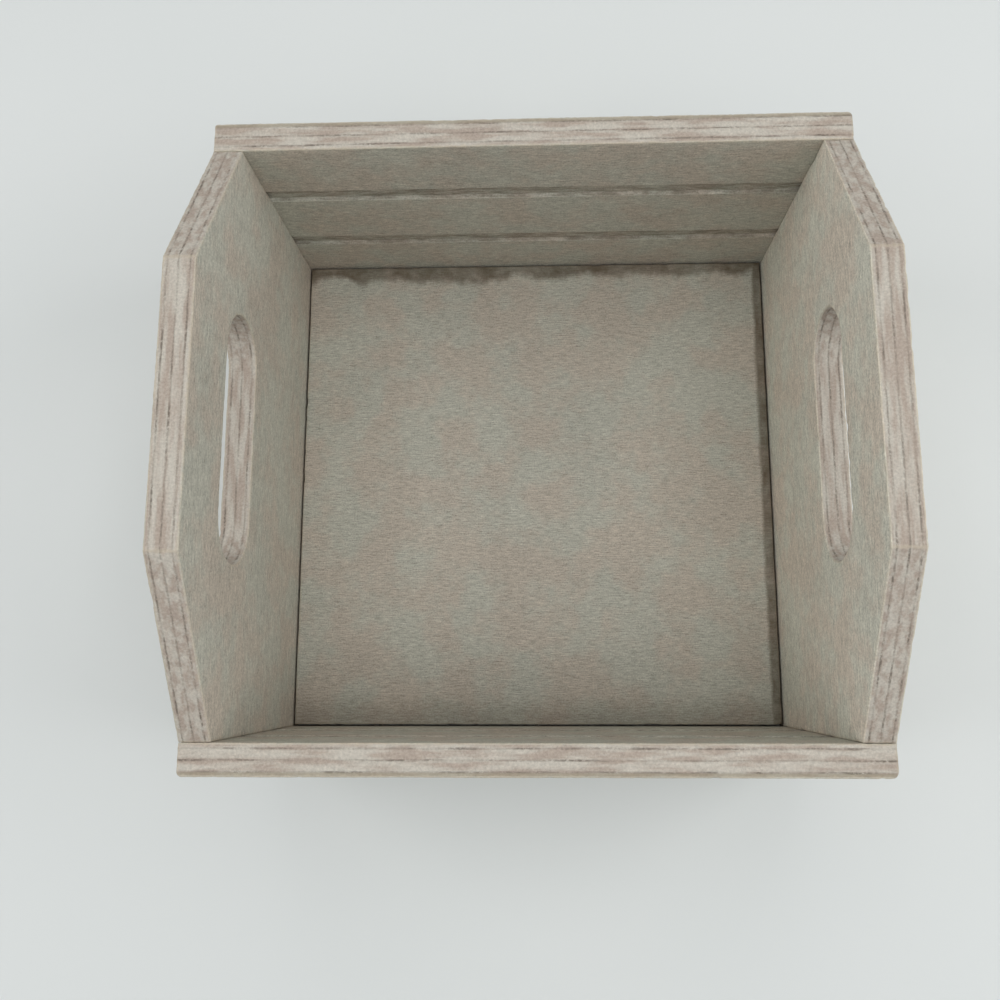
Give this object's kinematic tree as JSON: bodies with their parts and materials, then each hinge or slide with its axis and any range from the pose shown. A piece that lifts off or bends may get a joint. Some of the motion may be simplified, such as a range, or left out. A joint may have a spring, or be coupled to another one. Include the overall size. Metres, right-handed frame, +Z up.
{
  "type": "wooden crate",
  "caption": "Open-topped square plywood crate with grooved plank-look sides, raised sloping end panels and a long hand slot through each end; limewashed and worn.",
  "frame": {"origin": "centre of the underside of the floor, on the surface that the crate stands on", "axes": "+Z up; +X to the right along the front and back boards; +Y from the front board to the back board"},
  "size_m": [0.2, 0.2, 0.13],
  "materials": {
    "wall_ply": "limewashed, matt, worn at the edges",
    "end_ply": "limewashed, matt, worn at the edges",
    "floor_ply": "limewashed, matt, stained along the joints",
    "brad_wire": "zinc-coated wire, dulled by the wash"
  },
  "bodies": {
    "root": {"front_board": "wall_ply", "back_board": "wall_ply", "left_end_panel": "end_ply", "right_end_panel": "end_ply", "floor_panel": "floor_ply", "front_left_brads": "brad_wire", "front_right_brads": "brad_wire", "back_left_brads": "brad_wire", "back_right_brads": "brad_wire", "floor_front_brads": "brad_wire", "floor_back_brads": "brad_wire", "floor_left_brads": "brad_wire", "floor_right_brads": "brad_wire"}
  },
  "joints": []
}
